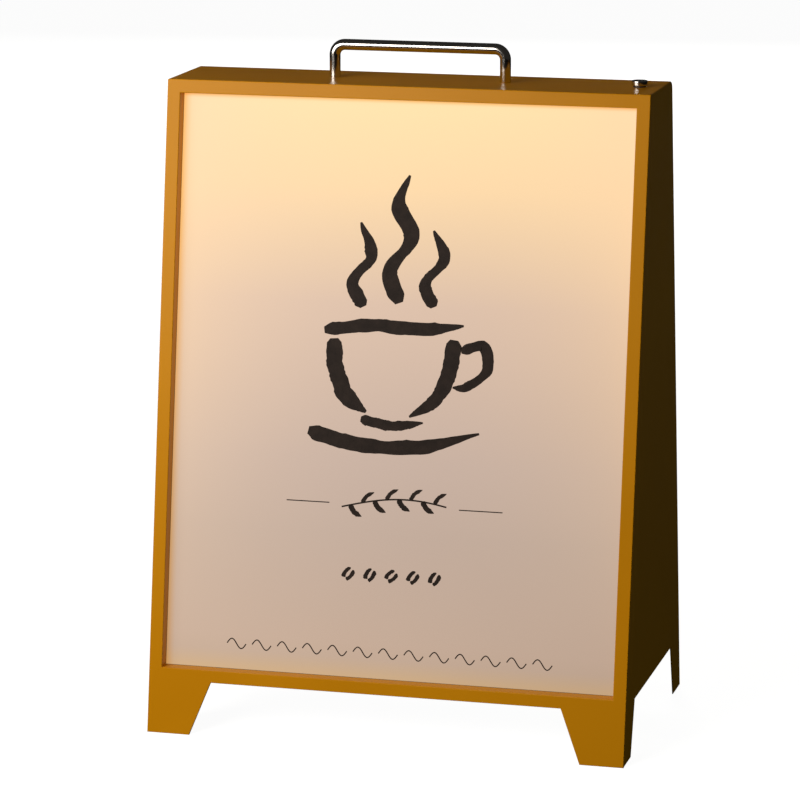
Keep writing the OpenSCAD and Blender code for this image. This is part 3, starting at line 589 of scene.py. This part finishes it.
def button_cap():
    """A hollow cap with rounded edges, open below."""
    low, high = (Vector(corner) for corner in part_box("button_cap"))
    radius = (high.x - low.x) / 2
    tall = high.z - low.z
    bore = radius - BUTTON_SKIRT_T
    ceiling = tall - BUTTON_ROOF_T
    outline = rounded([(0, tall), (radius, tall), (radius, 0), (bore, 0), (bore, ceiling),
                       (0, ceiling)], BUTTON_EDGE_R)
    mesh = lathe(outline, Vector(((low.x + high.x) / 2, (low.y + high.y) / 2, low.z)))
    piece_from(mesh, "polished_button", "button", "polished_steel", "button_cap")


button_cap()


# The print on the panel: a brushed cup with steam, a sprig between two rules, a row of beans, and
# a broken wave line. Its strokes are drawn flat, in the panel's own plane.

INK_T = 0.12 * MM
PRINT_LIFT = 0.02 * MM
PRINT_INK = ink()
STROKE_STEPS = 44
NIB_HEADING = 0.7
PANEL_FRAME = Matrix.Translation((0, face_y(0, PANEL_DEPTH), 0)) @ Matrix.Rotation(
    math.pi / 2 - LEAN, 4, "X")


def ribbon(mesh, path, widths):
    """A flat stroke along path, in the panel's own plane, with a (left, right) reach a point."""
    def sides(place):
        along = (path[min(place + 1, len(path) - 1)] - path[max(place - 1, 0)]).normalized()
        across = Vector((-along.y, along.x))
        left, right = widths[place]
        return path[place] + across * left, path[place] - across * right

    first, second = sides(0)
    verts = [mesh.verts.new((*first, 0)), mesh.verts.new((*second, 0))]
    edge = mesh.edges.new(verts)
    for place in range(1, len(path)):
        made = bmesh.ops.extrude_edge_only(mesh, edges=[edge])["geom"]
        fresh = [item for item in made if isinstance(item, bmesh.types.BMVert)]
        edge = next(item for item in made if isinstance(item, bmesh.types.BMEdge))
        if (fresh[0].co - verts[0].co).length > (fresh[1].co - verts[0].co).length:
            fresh.reverse()
        for vert, point in zip(fresh, sides(place)):
            vert.co = (*point, 0)
        verts = fresh


def curve(points):
    """A smooth path through a few points."""
    ends = [points[0] * 2 - points[1], *points, points[-1] * 2 - points[-2]]
    path = []
    spans = len(points) - 1
    for step in range(STROKE_STEPS + 1):
        place = min(int(step / STROKE_STEPS * spans), spans - 1)
        t = step / STROKE_STEPS * spans - place
        before, low, high, after = ends[place:place + 4]
        path.append(0.5 * (2 * low + (high - before) * t
                           + (2 * before - 5 * low + 4 * high - after) * t ** 2
                           + (3 * low - before - 3 * high + after) * t ** 3))
    return path


def brushed(path, width, seed, dry):
    """Reaches of a brush stroke: a blunt start, swells with its heading, and a thin dry end."""
    reaches = []
    last = len(path) - 1
    for place in range(last + 1):
        share = place / last
        along = path[min(place + 1, last)] - path[max(place - 1, 0)]
        heading = math.atan2(along.y, along.x)
        swell = 0.68 + 0.32 * abs(math.sin(heading - NIB_HEADING))
        press = min(1.0, 0.50 + 9 * share) * min(1.0, dry + 3.4 * (1 - share)) ** 0.8
        halves = []
        for side in (0, 7):
            rough = noise.noise(Vector((9 * share, seed + side, 0)))
            fine = noise.noise(Vector((38 * share, seed + side, 4)))
            halves.append(width / 2 * swell * press * (1 + 0.22 * rough + 0.10 * fine))
        reaches.append(halves)
    return reaches


def stroke(points, width, seed, dry=0.10):
    """The path and the reaches of one brush stroke through a few points."""
    path = curve([Vector(point) for point in points])
    return path, brushed(path, width, seed, dry)


def line(path, thickness):
    """The path and the even reaches of a thin printed line."""
    return path, [[thickness / 2] * 2] * len(path)


def printed(name, strokes):
    """One motif as a film of ink that lies just off the panel."""
    mesh = bmesh.new()
    for path, widths in strokes:
        ribbon(mesh, path, widths)
    bmesh.ops.recalc_face_normals(mesh, faces=mesh.faces)
    down = [face for face in mesh.faces if face.normal.z < 0]
    bmesh.ops.reverse_faces(mesh, faces=down)
    bmesh.ops.solidify(mesh, geom=mesh.faces, thickness=INK_T)
    bmesh.ops.recalc_face_normals(mesh, faces=mesh.faces)
    placed(mesh, PANEL_FRAME @ Matrix.Translation((0, 0, PRINT_LIFT + INK_T)))
    piece_from(mesh, name, "housing", "case_black", finish=PRINT_INK)


CUP_CENTRE = Vector((-4 * MM, 322 * MM))
CUP_HALF_W = 56 * MM
SPRIG_W = 92 * MM
SPRIG_UP = 203 * MM
SPRIG_BOW = 9 * MM
STEM_T = 1.4 * MM
LEAVES = 8
LEAF_W = 4.6 * MM
RULE_UP = 206 * MM
RULE_T = 0.9 * MM
RULE_REACHES = (57 * MM, 76 * MM, 95 * MM)
BEANS = 5
BEAN_STEP = 19 * MM
BEAN_UP = 146 * MM
BEAN_STROKE_W = 4.4 * MM
BEAN_SIDE = ((1.5 * MM, -5.2 * MM), (2.8 * MM, -2.2 * MM), (2.8 * MM, 2.2 * MM),
             (1.5 * MM, 5.2 * MM))
WAVES = 13
WAVE_STEP = 22.5 * MM
WAVE_L = 17 * MM
WAVE_UP = 79 * MM
WAVE_RISE = 4.2 * MM
WAVE_T = 1.0 * MM
WAVE_POINTS = 24


def cup_strokes():
    """A steaming cup in heavy brush strokes, drawn in half widths of its bowl."""
    drawn = [
        stroke([(-1.12, 0.56), (-0.40, 0.66), (0.45, 0.64), (1.06, 0.72)], 0.23, 1),
        stroke([(-0.96, 0.44), (-0.92, 0.00), (-0.74, -0.42), (-0.42, -0.66)], 0.27, 2),
        stroke([(0.92, 0.50), (0.86, 0.02), (0.66, -0.42), (0.26, -0.70)], 0.28, 3),
        stroke([(-0.50, -0.77), (0.00, -0.85), (0.48, -0.78)], 0.17, 4),
        stroke([(1.03, 0.34), (1.38, 0.42), (1.44, 0.06), (1.14, -0.20), (0.92, -0.22)], 0.19, 5),
        stroke([(-1.32, -0.98), (-0.60, -1.15), (0.40, -1.16), (1.36, -0.90)], 0.25, 6),
        stroke([(-0.52, 0.94), (-0.70, 1.32), (-0.42, 1.72), (-0.60, 2.22)], 0.21, 7),
        stroke([(0.04, 1.02), (-0.12, 1.50), (0.20, 2.02), (-0.02, 2.50), (0.14, 2.96)], 0.26, 8),
        stroke([(0.58, 0.98), (0.44, 1.34), (0.72, 1.72), (0.54, 2.14)], 0.20, 9)]
    return [([CUP_CENTRE + point * CUP_HALF_W for point in path],
             [[reach * CUP_HALF_W for reach in pair] for pair in reaches])
            for path, reaches in drawn]


def sprig_strokes():
    """A bowed stem with short leaves up both sides."""
    def stem(share):
        return Vector(((share - 0.5) * SPRIG_W, SPRIG_UP + SPRIG_BOW * math.sin(2.6 * share)))

    strokes = [line([stem(step / 20) for step in range(21)], STEM_T)]
    for leaf in range(LEAVES):
        root = stem(0.08 + 0.115 * leaf)
        side = 1 if leaf % 2 else -1
        tip = root + Vector((10.5 * MM, side * 9.5 * MM))
        bow = (root + tip) / 2 + Vector((-1.2 * MM, side * 1.2 * MM))
        strokes.append(stroke([root, bow, tip], LEAF_W, 20 + leaf, dry=0.02))
    return strokes


def rule_strokes():
    """A thin straight line on each side of the sprig."""
    return [line([Vector((side * reach, RULE_UP)) for reach in RULE_REACHES], RULE_T)
            for side in (-1, 1)]


def bean_strokes():
    """A row of tilted beans, each of two thick bowed strokes with the seam left between."""
    strokes = []
    for bean in range(BEANS):
        middle = Vector(((bean - (BEANS - 1) / 2) * BEAN_STEP, BEAN_UP))
        tilt = Matrix.Rotation(math.radians(-38 + 9 * math.sin(2.1 * bean)), 2)
        for side in (-1, 1):
            bow = [middle + tilt @ Vector((side * reach, rise)) for reach, rise in BEAN_SIDE]
            strokes.append(stroke(bow, BEAN_STROKE_W, 40 + bean, dry=0.25))
    return strokes


def wave_strokes():
    """A long fine wave along the foot of the panel, in short separate runs."""
    strokes = []
    for wave in range(WAVES):
        start = Vector(((wave - 6.4) * WAVE_STEP, WAVE_UP))
        turns = [step / WAVE_POINTS for step in range(WAVE_POINTS + 1)]
        strokes.append(line([start + Vector((WAVE_L * turn, WAVE_RISE * math.sin(math.tau * turn)))
                             for turn in turns], WAVE_T))
    return strokes


printed("printed_cup", cup_strokes())
printed("printed_sprig", sprig_strokes())
printed("printed_rules", rule_strokes())
printed("printed_beans", bean_strokes())
printed("printed_wave", wave_strokes())


# Stage, lights and camera

FLOOR_HALF_W = 14.0
FLOOR_GLOW = 0.96
FLOOR_BOUNCE = (0.05, 0.05, 0.05, 1)
BACKDROP = (0.985, 0.985, 0.98, 1)
FAINT_LIGHT = (1.0, 0.98, 0.92, 1)
FAINT_STRENGTH = 0.024

# Name, place, aim, width and height, watts, colour, and whether gloss mirrors it
LIGHTS = [
    ("key_softbox", (-0.80, -1.28, 0.88), (0.0, -0.05, 0.42), (1.3, 0.75), 22.5,
     (1.0, 0.95, 0.88), True),
    ("back_softbox", (-0.7, 4.4, 1.8), (0, 0, 0.3), (2.2, 1.6), 60, (1.0, 0.98, 0.96), False),
    ("side_fill", (2.6, 0.2, 0.5), (0.2, 0, 0.3), (1.2, 1.2), 3.1, (0.74, 1.0, 0.75), False)]

CAMERA_PLACE = Vector((0.80875, -3.19041, 0.98065))
CAMERA_YAW = 0.2534
CAMERA_PITCH = 0.21029
CAMERA_ROLL = 0.00011
CAMERA_LENS = 174.2
CAMERA_SENSOR = 36.0
CAMERA_REACH = 100.0


def pale_to_camera(tree, seen, unseen):
    """Shows one shader to the camera and another, darker one to the light that bounces."""
    path = tree.nodes.new("ShaderNodeLightPath")
    mixed = tree.nodes.new("ShaderNodeMixShader")
    tree.links.new(path.outputs["Is Camera Ray"], mixed.inputs[0])
    tree.links.new(unseen, mixed.inputs[1])
    tree.links.new(seen, mixed.inputs[2])
    return mixed.outputs[0]


def stage_floor():
    """A pale sweep that keeps only the soft shadow of the sign."""
    mesh = bmesh.new()
    bmesh.ops.create_grid(mesh, x_segments=2, y_segments=2, size=FLOOR_HALF_W)
    data = bpy.data.meshes.new("studio_floor")
    mesh.to_mesh(data)
    mesh.free()
    floor = bpy.data.objects.new("studio_floor", data)
    bpy.context.scene.collection.objects.link(floor)
    paint = Paint("studio_floor")
    tone = paint.noise(0.6, 2.0, 0.5)
    colour = paint.ramp(tone, [(0.3, (0.30, 0.30, 0.29)), (0.7, (0.32, 0.32, 0.31))])
    material = paint.surface(Base_Color=colour, Roughness=0.8, Specular_IOR_Level=0.0,
                             Emission_Color=(1.0, 1.0, 1.0), Emission_Strength=FLOOR_GLOW)
    shaders = paint.tree.nodes
    pale = shaders["Principled BSDF"].outputs[0]
    dark = shaders.new("ShaderNodeBsdfDiffuse")
    dark.inputs[0].default_value = FLOOR_BOUNCE
    shown = pale_to_camera(paint.tree, pale, dark.outputs[0])
    paint.tree.links.new(shown, shaders["Material Output"].inputs[0])
    data.materials.append(material)


def area_light(name, place, aim, size, watts, colour, mirrored):
    """A rectangular softbox that faces its aim."""
    light = bpy.data.lights.new(name, "AREA")
    light.shape = "RECTANGLE"
    light.size, light.size_y = size
    light.energy = watts
    light.color = colour
    lamp = bpy.data.objects.new(name, light)
    bpy.context.scene.collection.objects.link(lamp)
    lamp.location = place
    lamp.rotation_euler = (Vector(aim) - Vector(place)).to_track_quat("-Z", "Y").to_euler()
    lamp.visible_glossy = mirrored


def studio_world():
    """A pale backdrop whose own light is faint."""
    world = bpy.data.worlds.new("studio_world")
    bpy.context.scene.world = world
    world.use_nodes = True
    tree = world.node_tree
    tree.nodes.clear()
    seen = tree.nodes.new("ShaderNodeBackground")
    seen.inputs[0].default_value = BACKDROP
    faint = tree.nodes.new("ShaderNodeBackground")
    faint.inputs[0].default_value = FAINT_LIGHT
    faint.inputs[1].default_value = FAINT_STRENGTH
    out = tree.nodes.new("ShaderNodeOutputWorld")
    tree.links.new(pale_to_camera(tree, seen.outputs[0], faint.outputs[0]), out.inputs[0])


def studio_camera():
    """The camera fitted to the housing's edges in the photograph."""
    data = bpy.data.cameras.new("studio_camera")
    data.lens = CAMERA_LENS
    data.sensor_width = CAMERA_SENSOR
    data.clip_end = CAMERA_REACH
    camera = bpy.data.objects.new("studio_camera", data)
    bpy.context.scene.collection.objects.link(camera)
    forward = Vector((-math.sin(CAMERA_YAW) * math.cos(CAMERA_PITCH),
                      math.cos(CAMERA_YAW) * math.cos(CAMERA_PITCH), -math.sin(CAMERA_PITCH)))
    right = Vector((math.cos(CAMERA_YAW), math.sin(CAMERA_YAW), 0))
    up = right.cross(forward)
    turned = right * math.cos(CAMERA_ROLL) + up * math.sin(CAMERA_ROLL)
    upright = up * math.cos(CAMERA_ROLL) - right * math.sin(CAMERA_ROLL)
    axes = Matrix((turned, upright, -forward)).transposed()
    camera.matrix_world = Matrix.Translation(CAMERA_PLACE) @ axes.to_4x4()
    bpy.context.scene.camera = camera


stage_floor()
studio_world()
for softbox in LIGHTS:
    area_light(*softbox)
studio_camera()
bpy.context.scene.view_settings.view_transform = "Standard"
